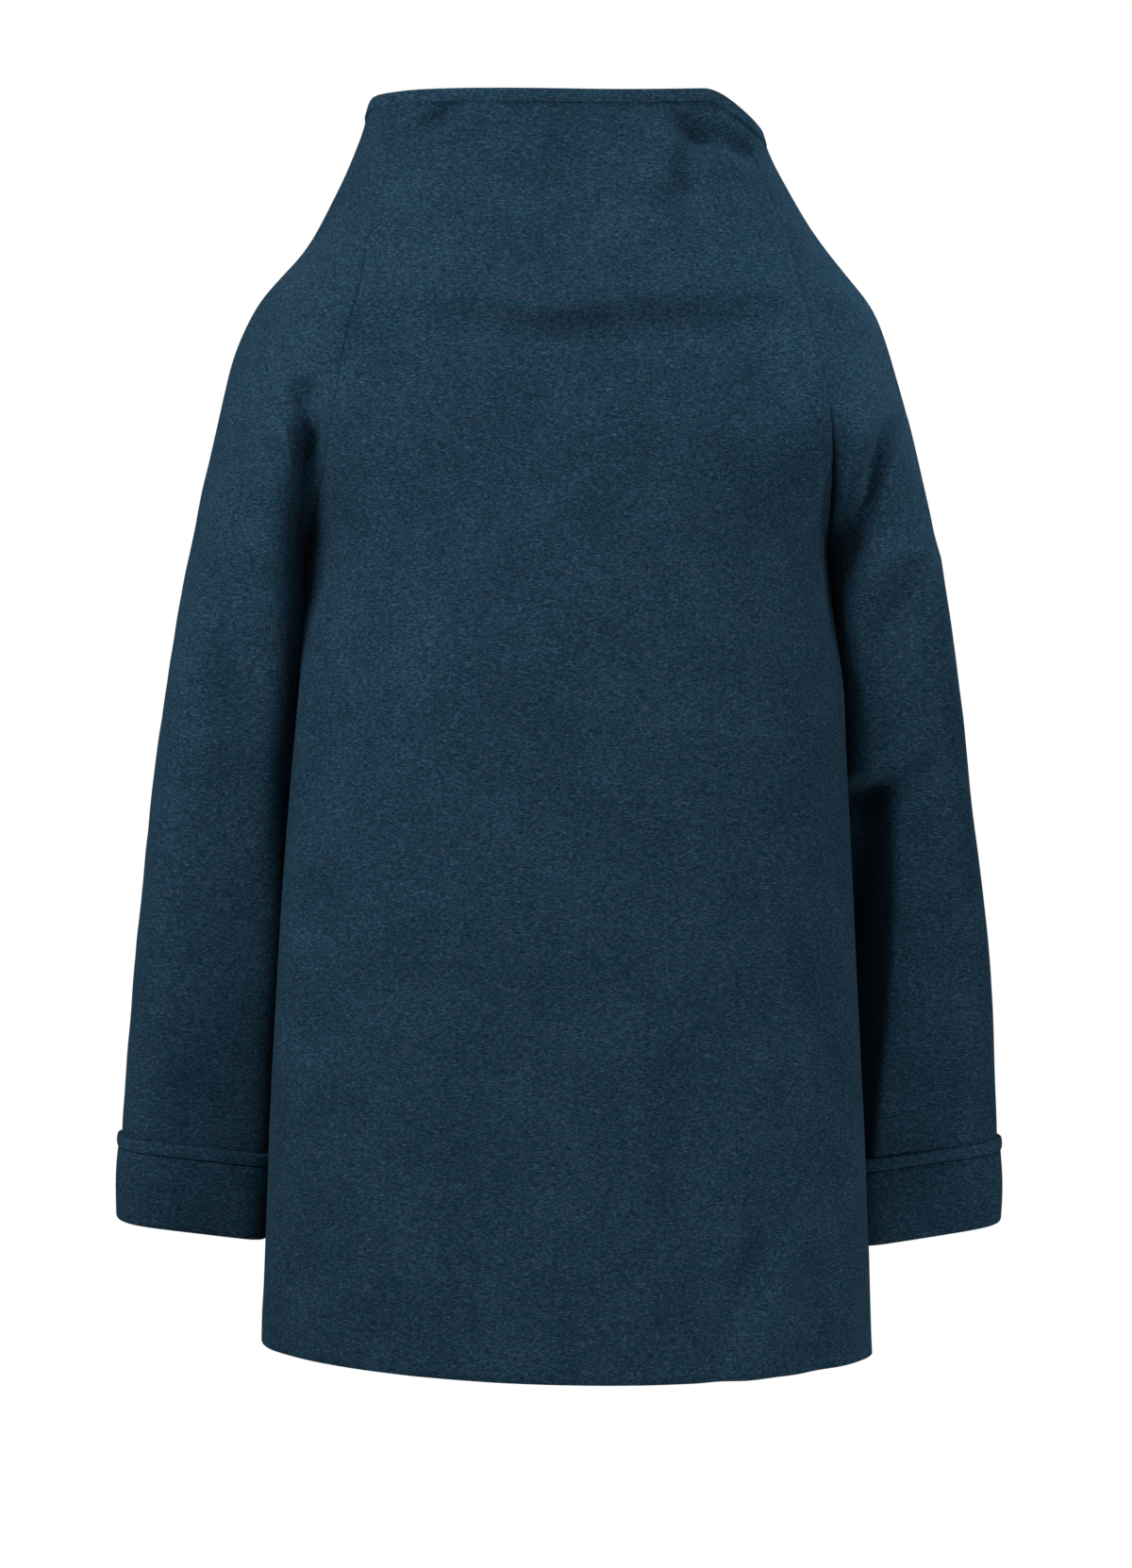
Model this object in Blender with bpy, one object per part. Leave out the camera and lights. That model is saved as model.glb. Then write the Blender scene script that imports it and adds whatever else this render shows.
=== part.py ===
"""Wrap coat in felted wool, worn and hollow: a back and two wrapped fronts with the funnel collar grown
on, raglan sleeves that end as the sides of the collar, turned-back cuffs and narrow edge strips.

Metres. +X is the wearer's right, +Y the way the wearer faces, +Z up. The origin lies between the
shoulders, where the coat is carried. Every panel is a wall whose outer face runs through level sections.
"""
import math
from collections import namedtuple

import bmesh
import bpy
import numpy as np

# Cloth and making
WALL = 0.0025             # one thickness of felted wool
SEAM = 0.0003             # clearance between two sewn pieces
STRIP = 0.008             # width of the edge strip on the collar rim and the cuff tops
STRIP_PROUD = 0.0005      # how far an edge strip stands out of the cloth on each face
STRIP_ROUND = 0.001       # rounding of the strips and of the cuffs' lower fold
LAP_DEPTH = 0.0054        # how far the under front lies inside the over front
LAP_RAMP = 0.028          # width over which the under front sinks below the over front's edge
LAP_FLAT = 0.15           # share of that width by which it has sunk before the edge
LAP_LEAN = 0.35           # share of the sideways part in the direction it sinks
SHARP_ANGLE = math.radians(40.0)

# Heights
RIM = 0.119               # collar rim at the centre back
HEM = -0.694
UNDERARM = -0.175         # where back, front and sleeve meet under the arm
NOTCH_TOP = -0.078        # where the raglan seam starts to sink between body and arm
CUFF_END = -0.618         # lower fold of the cuffs on the arm's middle line
CUFF_TALL = 0.057
CUFF_LIP = 0.003          # fold of the cuff under the sleeve's end

# How the coat hangs
RIM_LEFT_RISE = 0.0025    # the rim rises slowly to the wearer's left side
RIM_RIGHT_RISE = 0.010    # and to the right back corner,
RIM_RIGHT_FALL = 0.027    # round which it then falls
RIM_CORNER = (0.62, 1.05) # where that fall starts and ends, as shares of the rim's half width
RIM_FRONT_DROP = 0.034    # the rim lies this much lower at the front
HEM_TILT = 0.024          # fall of the hem from left to right, for each metre across
HEM_SIDE_RISE = 0.0100    # the body's hem lies this much higher at the sides
HEM_TILT_TOP = -0.250     # the hem's tilt fades out here
ARM_FORWARD = 0.034       # the cuffs hang this far in front of the shoulders
ARM_SWING = 1.0           # how the sleeve's middle line bends forward on its way down
CUFF_TILT = 0.135         # slope of the cuffs, higher at the outer side
ARM_LEAN = 0.0030         # the cuffs hang this far to the wearer's right
ARM_PARTING = 0.010       # height over which sleeve and body part below the underarm
SIDE_BACK = 0.055         # the body's widest line lies this far behind the shoulders, beside the arms
SIDE_BACK_RUN = 0.100     # height over which that line moves back from the underarm

# Fullness of the section curves
SECTION_POWER = 2.6       # superellipse of the collar and shoulders
TORSO_FULL = 0.62         # pull of the body's curves towards their corners
TUCKED_FULL = 0.30        # the same beside the arms, where the front sides fall in
BROAD_FULL = 0.74         # the same on the breast, which stays broad between those sides
SHOULDER_FULL = 0.60      # the same on the shoulders
LOOP_FULL = 4.0 / 3.0     # handles that make half a closed sleeve from one curve
NOTCH_DEEPEN = 1.5        # how the raglan seam sinks towards the underarm
NOTCH_OPEN = 0.6          # how the cloth turns into that notch on both sides

# Sections from the collar rim to the underarm
YOKE_COLUMNS = ("z", "outer_x", "back", "front", "seam_x")
YOKE = (
    (0.119, 0.1290, 0.0880, 0.092, 0.1120),
    (0.095, 0.1365, 0.0920, 0.096, 0.1180),
    (0.068, 0.1480, 0.0990, 0.101, 0.1225),
    (0.043, 0.1615, 0.1070, 0.106, 0.1300),
    (0.019, 0.1770, 0.1140, 0.111, 0.1360),
    (-0.006, 0.1985, 0.1190, 0.116, 0.1405),
    (-0.031, 0.2115, 0.1230, 0.119, 0.1470),
    (-0.056, 0.2200, 0.1275, 0.122, 0.1525),
    (-0.081, 0.2265, 0.1310, 0.127, 0.1570),
    (-0.118, 0.2360, 0.1340, 0.133, 0.1625),
    (-0.175, 0.2470, 0.1370, 0.139, 0.1720),
)

# Body sections from the underarm to the hem
BODY_COLUMNS = ("z", "left_x", "right_x", "back", "front")
BODY = (
    (-0.175, 0.172, 0.1720, 0.1370, 0.1390),
    (-0.242, 0.176, 0.1745, 0.1390, 0.1400),
    (-0.304, 0.181, 0.1765, 0.1405, 0.1405),
    (-0.366, 0.186, 0.1795, 0.1420, 0.1415),
    (-0.428, 0.190, 0.1823, 0.1440, 0.1430),
    (-0.552, 0.196, 0.1879, 0.1490, 0.1480),
    (-0.694, 0.201, 0.1923, 0.1560, 0.1550),
)

# Sleeve sections from the underarm to the cuff; depth is half the sleeve's depth from front to back
SLEEVE_COLUMNS = ("z", "outer_x", "inner_x", "depth")
SLEEVE = (
    (-0.175, 0.2470, 0.1720, 0.0785),
    (-0.208, 0.2527, 0.1731, 0.0770),
    (-0.242, 0.2580, 0.1742, 0.0755),
    (-0.304, 0.2670, 0.1775, 0.0725),
    (-0.366, 0.2750, 0.1820, 0.0700),
    (-0.428, 0.2810, 0.1860, 0.0675),
    (-0.490, 0.2855, 0.1890, 0.0635),
    (-0.552, 0.2900, 0.1920, 0.0580),
    (-0.640, 0.2930, 0.1965, 0.0520),
)

# Where the free edge of a front lies past the centre
LAP_COLUMNS = ("z", "reach")
LAP = (
    (0.119, 0.058),
    (0.019, 0.066),
    (-0.175, 0.078),
    (-0.694, 0.088),
)

# The largest folds: a soft trough pressed into one panel between two points seen from behind
Fold = namedtuple("Fold", "panel x0 z0 x1 z1 width depth")
FOLDS = (
    Fold("back", -0.140, -0.014, 0.120, -0.020, 0.014, 0.0035),
    Fold("back", -0.148, -0.230, -0.160, -0.560, 0.014, 0.0040),
    Fold("back", 0.150, -0.240, 0.165, -0.520, 0.016, 0.0030),
    Fold("back", 0.135, -0.625, 0.100, -0.700, 0.014, 0.0045),
    Fold("sleeve_right", 0.207, -0.105, 0.183, -0.190, 0.011, 0.0070),
    Fold("sleeve_right", 0.240, -0.180, 0.188, -0.270, 0.016, 0.0060),
    Fold("sleeve_right", 0.195, -0.345, 0.203, -0.510, 0.014, 0.0220),
    Fold("sleeve_left", -0.178, -0.065, -0.172, -0.230, 0.011, 0.0060),
)

FOLD_FACING = 0.4         # a fold is full where the cloth looks this much backwards

ROW_STEP = 0.0132         # height between sections of the yoke and collar
BACK_HALF = 10            # columns from the centre back to a seam
FRONT_HALF = 9
LAP_SPANS = 5
ARM_HALF = 8              # columns from a raglan seam to the outermost line of the sleeve
LOW_STEP = 0.042          # height between sections of the body below the underarm
ARM_STEP = 0.036
CUFF_STEP = 0.016
EDGE_SAMPLES = 101        # places tried on a section to find the free edge of a front

WOOL = (0.0123, 0.0315, 0.0513, 1.0)
WOOL_ROUGHNESS = 0.92

BACK, FRONT = -1, 1
LEFT, RIGHT = -1, 1


def smooth(value, low, high):
    """Soft step from 0 at low to 1 at high."""
    share = np.clip((value - low) / (high - low), 0.0, 1.0)
    return share * share * (3.0 - 2.0 * share)


def natural_curve(knots, values):
    """Second slopes of the natural cubic through values at rising knots."""
    count = len(knots)
    gaps = np.diff(knots)
    system = np.eye(count)
    bend = np.zeros(count)
    for i in range(1, count - 1):
        system[i, i - 1] = gaps[i - 1]
        system[i, i] = 2.0 * (gaps[i - 1] + gaps[i])
        system[i, i + 1] = gaps[i]
        bend[i] = 6.0 * ((values[i + 1] - values[i]) / gaps[i] - (values[i] - values[i - 1]) / gaps[i - 1])
    return np.linalg.solve(system, bend)


def make_reader(columns, rows):
    """A function that reads a named column of a table at any height, smoothly between its rows."""
    ordered = sorted(rows)
    data = {name: np.array([row[i] for row in ordered]) for i, name in enumerate(columns)}
    heights = data["z"]
    slopes = {name: natural_curve(heights, data[name]) for name in columns[1:]}

    def read(name, z):
        place = min(max(z, heights[0]), heights[-1])
        i = min(max(int(np.searchsorted(heights, place, side="right")) - 1, 0), len(heights) - 2)
        gap = heights[i + 1] - heights[i]
        low = (heights[i + 1] - place) / gap
        high = 1.0 - low
        curve = (low ** 3 - low) * slopes[name][i] + (high ** 3 - high) * slopes[name][i + 1]
        return low * data[name][i] + high * data[name][i + 1] + curve * gap * gap / 6.0

    return read


yoke = make_reader(YOKE_COLUMNS, YOKE)
body = make_reader(BODY_COLUMNS, BODY)
sleeve = make_reader(SLEEVE_COLUMNS, SLEEVE)
lap = make_reader(LAP_COLUMNS, LAP)


def bezier(corners, places):
    """Points of a cubic Bezier at the given places from 0 to 1."""
    t = np.asarray(places)[:, None]
    first, second, third, last = (np.array(corner) for corner in corners)
    rest = 1.0 - t
    return rest ** 3 * first + 3 * rest ** 2 * t * second + 3 * rest * t ** 2 * third + t ** 3 * last


def side_name(half):
    return "back" if half == BACK else "front"


Raglan = namedtuple("Raglan", "x depth turn body_turn arm_turn opened")


def raglan(z, half):
    """Seam point of a level above the underarm, as x and depth, with the turns of the cloth there."""
    width = yoke("outer_x", z)
    depth = yoke(side_name(half), z)
    x = yoke("seam_x", z)
    across = x / width
    share = (1.0 - across ** SECTION_POWER) ** (1.0 / SECTION_POWER)
    turn = math.atan(depth / width * (across / share) ** (SECTION_POWER - 1.0))
    sunk = min(max((NOTCH_TOP - z) / (NOTCH_TOP - UNDERARM), 0.0), 1.0)
    opened = sunk ** NOTCH_OPEN
    quarter = math.pi / 2
    return Raglan(x, depth * share * (1.0 - sunk ** NOTCH_DEEPEN), turn,
                  turn + (quarter - turn) * opened, turn - (quarter + turn) * opened, opened)


def arm_low(z):
    """Share of the way from the underarm down to the cuff."""
    return max((UNDERARM - z) / (UNDERARM - CUFF_END), 0.0)


def arm_fore(z):
    """How far the sleeve's middle lies in front of the shoulders."""
    return ARM_FORWARD * arm_low(z) ** ARM_SWING


def side_back(z):
    """Share of the way that the body's widest line has moved back below the underarm."""
    return float(smooth(UNDERARM - z, 0.0, SIDE_BACK_RUN))


def torso_arc(z, half, side):
    """Bezier of half a body section from the centre to one side's seam, as x and depth."""
    if z > UNDERARM:
        depth = yoke(side_name(half), z)
        seam = raglan(z, half)
        x, seam_depth, turn = seam.x, seam.depth, seam.body_turn
    else:
        depth = body(side_name(half), z)
        x = body("left_x" if side == LEFT else "right_x", z)
        seam_depth, turn = -half * SIDE_BACK * side_back(z), math.pi / 2
    run = (depth - seam_depth) / math.sin(turn)
    corner = np.array((x - run * math.cos(turn), depth))
    start = np.array((0.0, depth))
    end = np.array((x, seam_depth))
    tucked = side_back(z) if half == FRONT else 0.0
    centre_full = TORSO_FULL + (BROAD_FULL - TORSO_FULL) * tucked
    side_full = TORSO_FULL + (TUCKED_FULL - TORSO_FULL) * tucked
    return start, start + centre_full * (corner - start), end + side_full * (corner - end), end


def arm_inner(z):
    """Inner line of the closed sleeve, parting from the body below the underarm."""
    left = math.exp(-(UNDERARM - z) / ARM_PARTING)
    return sleeve("inner_x", z) + SEAM * left


def sleeve_arc(z, half):
    """Bezier of half a sleeve section from its seam to its outermost line, as x and depth."""
    fore = half * arm_fore(z)
    if z <= UNDERARM:
        reach = LOOP_FULL * sleeve("depth", z)
        start = np.array((arm_inner(z), fore))
        end = np.array((sleeve("outer_x", z), fore))
        return start, start + (0.0, reach), end + (0.0, reach), end
    width = yoke("outer_x", z)
    seam = raglan(z, half)
    heading = np.array((math.cos(seam.arm_turn), -math.sin(seam.arm_turn)))
    start = np.array((seam.x, seam.depth))
    end = np.array((width, fore))
    closed = LOOP_FULL * (sleeve("depth", UNDERARM) - (seam.depth - fore) / 2.0)
    run = SHOULDER_FULL * (width - seam.x) / math.cos(seam.turn)
    fall = SHOULDER_FULL * (seam.depth - math.tan(seam.turn) * (width - seam.x) - fore)
    first = run + (closed - run) * seam.opened
    second = max(fall, 0.0) + (closed - max(fall, 0.0)) * seam.opened
    return start, start + first * heading, end + (0.0, second), end


def seam_shift(z, half):
    """Half the seam clearance at a level, as x and depth, pointing from the body to the sleeve."""
    if z > UNDERARM:
        seam = raglan(z, half)
        middle = (seam.body_turn + seam.arm_turn) / 2.0
        return np.array((math.cos(middle), -math.sin(middle))) * SEAM / 2.0
    return np.array((SEAM / 2.0, 0.0))


def hang(points, side_rise=0.0):
    """Run of the rim and the hem laid on level points."""
    x, y, z = points[..., 0], points[..., 1], points[..., 2]
    lift = np.clip(z / (RIM - STRIP), 0.0, 1.0) ** 2
    across = np.clip(x / yoke("outer_x", RIM), -1.0, 1.0)
    right = RIM_RIGHT_RISE * across ** 2 - RIM_RIGHT_FALL * smooth(across, *RIM_CORNER)
    rise = np.where(x > 0.0, right, RIM_LEFT_RISE * across ** 2)
    fore = RIM_FRONT_DROP * smooth(y, 0.0, yoke("front", RIM))
    low = np.clip((HEM_TILT_TOP - z) / (HEM_TILT_TOP - HEM), 0.0, 1.0)
    arch = side_rise * (x / body("left_x", HEM)) ** 2
    points[..., 2] = z + lift * (rise - fore) + low * (arch - HEM_TILT * x)
    return points


def level(flat, side, half, z):
    """Level section points as x, y, z on one side and half of the coat."""
    return np.column_stack((side * flat[:, 0], half * flat[:, 1], np.full(len(flat), z)))


def torso_row(z, half, side, places):
    """Part of a body section, from the centre (0) to the seam (1), clear of the seam itself."""
    flat = bezier(torso_arc(z, half, side), places)
    at_seam = np.asarray(places) >= 1.0
    if z >= UNDERARM:
        flat[at_seam] -= seam_shift(z, half)
    if z <= UNDERARM:
        flat[at_seam, 1] += SEAM / 2.0
    return level(flat, side, half, z)


def sleeve_row(z, side, clear=True):
    """A sleeve section from the back seam round the outermost line to the front seam."""
    places = np.linspace(0.0, 1.0, ARM_HALF + 1)
    halves = []
    for half in (BACK, FRONT):
        flat = bezier(sleeve_arc(z, half), places)
        if clear and z >= UNDERARM:
            flat[0] += seam_shift(z, half)
        halves.append(level(flat, side, half, z))
    return np.vstack((halves[0], halves[1][-2::-1]))


def back_rows(heights):
    places = np.linspace(0.0, 1.0, BACK_HALF + 1)
    rows = []
    for z in heights:
        left = torso_row(z, BACK, LEFT, places[::-1])
        right = torso_row(z, BACK, RIGHT, places[1:])
        rows.append(np.vstack((left, right)))
    return hang(np.array(rows), HEM_SIDE_RISE)


def front_row(z, side):
    """A front from its seam over the centre to its free edge on the other side."""
    near = torso_row(z, FRONT, side, np.linspace(1.0, 0.0, FRONT_HALF + 1))
    fine = np.linspace(0.0, 1.0, EDGE_SAMPLES)
    reach = bezier(torso_arc(z, FRONT, -side), fine)[:, 0]
    edge = np.interp(lap("reach", z), reach, fine)
    far = torso_row(z, FRONT, -side, np.linspace(0.0, edge, LAP_SPANS + 1)[1:])
    return np.vstack((near, far))


def sink_under(points, heights):
    """Press the left front inwards where the right front lies over it."""
    for row, z in zip(points, heights):
        edge = -lap("reach", z)
        sunk = smooth(row[:, 0], edge - LAP_RAMP, edge - LAP_RAMP * LAP_FLAT)
        inward = np.column_stack((-row[:, 0] * LAP_LEAN, -row[:, 1], np.zeros(len(row))))
        inward /= np.linalg.norm(inward, axis=1)[:, None]
        row += inward * (LAP_DEPTH * sunk)[:, None]
    return points


def front_rows(heights, side):
    points = np.array([front_row(z, side) for z in heights])
    if side == LEFT:
        points = sink_under(points, heights)
    return hang(points, HEM_SIDE_RISE)


def sleeve_rows(heights, side, clear=True):
    points = np.array([sleeve_row(z, side, clear) for z in heights])
    for row, z in zip(points, heights):
        middle = (row[:, 0].max() + row[:, 0].min()) / 2.0
        row[:, 2] += CUFF_TILT * arm_low(z) * side * (row[:, 0] - middle)
        row[:, 0] += ARM_LEAN * arm_low(z)
    return hang(points)


def press_folds(panel, points, normals):
    """Lay the table's troughs into a panel, on the faces that look backwards."""
    depth = np.zeros(points.shape[:2])
    for fold in FOLDS:
        if fold.panel != panel:
            continue
        start = np.array((fold.x0, fold.z0))
        along = np.array((fold.x1, fold.z1)) - start
        flat = points[..., (0, 2)] - start
        share = flat @ along / (along @ along)
        nearest = np.clip(share, 0.0, 1.0)[..., None] * along
        gap = np.linalg.norm(flat - nearest, axis=-1)
        facing = smooth(-normals[..., 1], 0.0, FOLD_FACING)
        depth += fold.depth * np.exp(-(gap / fold.width) ** 2) * facing
    return points - normals * depth[..., None]


def grid_normals(points, closed, outward):
    """Unit normals of a grid of points; rows below closed run right round."""
    along = np.gradient(points, axis=1)
    for row in range(closed):
        across = points[row, 1] - points[row, -2]
        along[row, 0] = across / 2.0
        along[row, -1] = across / 2.0
    up = np.gradient(points, axis=0)
    normals = np.cross(along, up) * outward
    return normals / np.linalg.norm(normals, axis=-1)[..., None]


def share_seam(first, second, heading):
    """Give two walls that would cross below their seam the same direction there."""
    crossing = np.einsum("ij,ij->i", second - first, heading) > 0.0
    middle = first + second
    middle /= np.linalg.norm(middle, axis=1)[:, None]
    first[crossing] = middle[crossing]
    second[crossing] = middle[crossing]


class Panel:
    """A wall of cloth on a grid of outer points, rows upwards and columns round the body."""

    def __init__(self, name, points, outward, closed=0):
        self.name = name
        self.closed = closed
        normals = grid_normals(points, closed, outward)
        self.outer = press_folds(name, points, normals)
        self.normals = grid_normals(self.outer, closed, outward)

    def build(self):
        return make_wall(self.name, self.outer, self.outer - self.normals * WALL, self.closed)


def make_wall(name, outer, inner, closed=0):
    """Closed wall between an outer and an inner grid; the first rows may run right round."""
    rows, columns = outer.shape[:2]
    mesh = bmesh.new()
    layers = []
    for grid in (outer, inner):
        layer = []
        for r in range(rows):
            line = [mesh.verts.new(point) for point in grid[r, :columns - (r < closed)]]
            if r < closed:
                line.append(line[0])
            layer.append(line)
        layers.append(layer)
    out, inn = layers

    def face(*corners):
        mesh.faces.new(corners)

    for r in range(rows - 1):
        for c in range(columns - 1):
            for grid in layers:
                face(grid[r][c], grid[r][c + 1], grid[r + 1][c + 1])
                face(grid[r][c], grid[r + 1][c + 1], grid[r + 1][c])
    for r in (0, rows - 1):
        for c in range(columns - 1):
            face(out[r][c], out[r][c + 1], inn[r][c + 1], inn[r][c])
    for r in range(max(closed - 1, 0), rows - 1):
        for c in (0, columns - 1):
            face(out[r][c], out[r + 1][c], inn[r + 1][c], inn[r][c])
    return finish(name, mesh)


def make_band(name, rings):
    """Closed band from a loop of rings, each a closed line of points."""
    mesh = bmesh.new()
    lines = [[mesh.verts.new(point) for point in ring] for ring in rings]
    count = len(lines[0])
    for one, two in zip(lines, lines[1:] + lines[:1]):
        for c in range(count):
            d = (c + 1) % count
            mesh.faces.new((one[c], one[d], two[d]))
            mesh.faces.new((one[c], two[d], two[c]))
    return finish(name, mesh)


def finish(name, mesh):
    """Turn a mesh into a smooth-shaded object of its own wool."""
    bmesh.ops.recalc_face_normals(mesh, faces=mesh.faces)
    data = bpy.data.meshes.new(name)
    mesh.to_mesh(data)
    mesh.free()
    data.shade_smooth()
    data.set_sharp_from_angle(angle=SHARP_ANGLE)
    data.materials.append(wool(name))
    item = bpy.data.objects.new(name, data)
    bpy.context.scene.collection.objects.link(item)
    item.parent = bpy.data.objects["coat"]
    return item


def wool(name):
    """Felted dark teal wool of one piece."""
    material = bpy.data.materials.new(name + "_wool")
    material.use_nodes = True
    shader = material.node_tree.nodes["Principled BSDF"]
    shader.inputs["Base Color"].default_value = WOOL
    shader.inputs["Roughness"].default_value = WOOL_ROUGHNESS
    shader.inputs["Metallic"].default_value = 0.0
    return material


def spread(low, high, step):
    """Heights from low to high at about the given step."""
    return list(np.linspace(low, high, max(int(round((high - low) / step)), 1) + 1))


def build_panels():
    """Back, fronts and sleeves up to the edge strip, with the seams they share."""
    top = RIM - STRIP - SEAM
    upper = spread(UNDERARM, top, ROW_STEP)[1:]
    lower = spread(HEM, UNDERARM, LOW_STEP)
    arm = spread(CUFF_END + CUFF_LIP + SEAM, UNDERARM - ARM_PARTING, ARM_STEP) + [UNDERARM]
    turn = len(lower)
    back = Panel("back", back_rows(lower + upper), 1)
    fronts = {}
    sleeves = {}
    for side, word in ((LEFT, "left"), (RIGHT, "right")):
        fronts[side] = Panel("front_" + word, front_rows(lower + upper, side), side)
        points = sleeve_rows(arm + upper, side)
        sleeves[side] = Panel("sleeve_" + word, points, side, closed=len(arm))
    forward = np.array([(0.0, 1.0, 0.0)] * turn)
    for side in (LEFT, RIGHT):
        edge = 0 if side == LEFT else -1
        sleeve_edge = sleeves[side].normals[len(arm):]
        share_seam(back.normals[:turn, edge], fronts[side].normals[:turn, 0], forward)
        for half, edges in ((BACK, back.normals[turn:, edge]), (FRONT, fronts[side].normals[turn:, 0])):
            shifts = np.array([seam_shift(z, half) for z in upper])
            heading = np.column_stack((side * shifts[:, 0], half * shifts[:, 1], 0.0 * shifts[:, 0]))
            share_seam(edges, sleeve_edge[:, 0 if half == BACK else -1], heading)
    for panel in (back, *fronts.values(), *sleeves.values()):
        panel.build()


def build_cuff(side, word):
    """Turned-back cuff and its edge strip, made from the sleeve's points moved out."""
    strip_low = CUFF_TALL - STRIP
    body_heights = spread(CUFF_LIP, strip_low - SEAM, CUFF_STEP)
    strip_heights = [strip_low, strip_low + STRIP_ROUND, CUFF_TALL - STRIP_ROUND, CUFF_TALL]
    heights = [0.0, STRIP_ROUND] + body_heights + strip_heights
    points = sleeve_rows([CUFF_END + h for h in heights], side, clear=False)
    normals = grid_normals(points, len(heights), side)
    rings = {h: (points[i, :-1], normals[i, :-1]) for i, h in enumerate(heights)}

    def ring(height, out):
        place, normal = rings[height]
        return place + normal * out

    face = SEAM + WALL
    profile = [(CUFF_LIP, -WALL), (STRIP_ROUND, -WALL), (0.0, STRIP_ROUND - WALL),
               (0.0, face - STRIP_ROUND), (STRIP_ROUND, face)]
    profile += [(h, face) for h in body_heights]
    profile += [(h, SEAM) for h in reversed(body_heights)]
    make_band("cuff_" + word, [ring(h, out) for h, out in profile])
    proud = (face, face + STRIP_PROUD, face + STRIP_PROUD, face - STRIP_PROUD)
    strip = [(strip_low, SEAM), *zip(strip_heights, proud), (CUFF_TALL, SEAM)]
    make_band("cuff_edge_" + word, [ring(h, out) for h, out in strip])


def collar_path(heights):
    """Sections of the collar from one front's free edge round the neck to the other's."""
    right = front_rows(heights, RIGHT)[:, ::-1]
    right_arm = sleeve_rows(heights, RIGHT, clear=False)[:, ::-1]
    across = back_rows(heights)[:, ::-1]
    left_arm = sleeve_rows(heights, LEFT, clear=False)
    left = front_rows(heights, LEFT)
    return np.concatenate((right[:, :-1], right_arm[:, :-1], across[:, 1:-1], left_arm, left[:, 1:]), axis=1)


def build_collar_edge():
    """Edge strip round the collar rim, standing in line with the cloth below it."""
    low = RIM - STRIP
    normals = grid_normals(collar_path([low - ROW_STEP, low]), 0, -1)[1]
    path = collar_path([low, low + STRIP_ROUND, RIM - STRIP_ROUND, RIM])
    proud = np.array((0.0, STRIP_PROUD, STRIP_PROUD, -STRIP_PROUD))[:, None, None]
    make_wall("collar_edge", path + normals * proud, path - normals * (WALL + proud))


def main():
    for item in list(bpy.data.objects):
        bpy.data.objects.remove(item, do_unlink=True)
    holder = bpy.data.objects.new("coat", None)
    bpy.context.scene.collection.objects.link(holder)
    build_panels()
    for side, word in ((LEFT, "left"), (RIGHT, "right")):
        build_cuff(side, word)
    build_collar_edge()


main()
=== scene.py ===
import math

import bpy
import numpy as np
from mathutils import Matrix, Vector


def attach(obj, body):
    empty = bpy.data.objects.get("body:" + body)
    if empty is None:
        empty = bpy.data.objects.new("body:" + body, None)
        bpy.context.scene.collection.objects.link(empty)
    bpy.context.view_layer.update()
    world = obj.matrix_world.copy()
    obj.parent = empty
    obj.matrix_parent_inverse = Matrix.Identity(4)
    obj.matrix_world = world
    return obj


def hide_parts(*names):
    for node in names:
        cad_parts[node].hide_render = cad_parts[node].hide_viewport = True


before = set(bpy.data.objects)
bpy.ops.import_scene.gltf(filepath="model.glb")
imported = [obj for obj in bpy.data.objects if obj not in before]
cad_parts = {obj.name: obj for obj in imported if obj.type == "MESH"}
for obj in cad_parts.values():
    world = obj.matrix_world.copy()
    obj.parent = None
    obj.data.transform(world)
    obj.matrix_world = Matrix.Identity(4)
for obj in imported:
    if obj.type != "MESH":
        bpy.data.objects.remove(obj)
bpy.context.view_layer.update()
scene = bpy.context.scene
print("frame loaded with", len(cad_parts), "nodes")

behind, before = -1, 1   # the halves of the coat, along Y
left, right = -1, 1      # the sides as worn, along X

# Camera, light and floor

cameraRig = {
    "distance": 2.6,     # from the coat's middle line
    "turn": -6.0,        # degrees round to the coat's left
    "height": -0.323,    # level lens at the picture's middle
    "lens": 90.8,
    "sensor": 36.0,      # along the picture's height
}

lightRig = {
    "world": 1.0,
    "lamps": [           # place, aim, size, watts, spread in degrees
        ((-0.85, -0.78, 0.24), (-0.08, 0.0, -0.20), 0.6, 28.0, 180.0),
        ((0.45, -0.15, 1.20), (0.10, 0.0, -0.02), 0.8, 25.0, 180.0),
        ((0.85, -0.62, 0.55), (0.225, -0.05, -0.02), 0.3, 0.5, 22.0),
        ((0.55, -0.60, -0.78), (0.22, 0.0, -0.58), 0.35, 3.8, 180.0),
    ],
    "floor": -1.45,      # well below the hem
    "floorReach": 2.6,
    "floorPaint": (0.86, 0.86, 0.86, 1.0),
    "floorRoughness": 0.9,
}


def setCamera(rig):
    turn = math.radians(rig["turn"])
    lens = bpy.data.cameras.new("camera")
    lens.lens = rig["lens"]
    lens.sensor_fit = "VERTICAL"
    lens.sensor_height = rig["sensor"]
    lens.sensor_width = rig["sensor"]
    lens.dof.use_dof = False
    holder = bpy.data.objects.new("camera", lens)
    place = Vector((math.sin(turn), -math.cos(turn), 0.0)) * rig["distance"]
    place.z = rig["height"]
    holder.location = place
    aim = Vector((0.0, 0.0, rig["height"])) - place
    holder.rotation_euler = aim.to_track_quat("-Z", "Y").to_euler()
    scene.collection.objects.link(holder)
    scene.camera = holder


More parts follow.
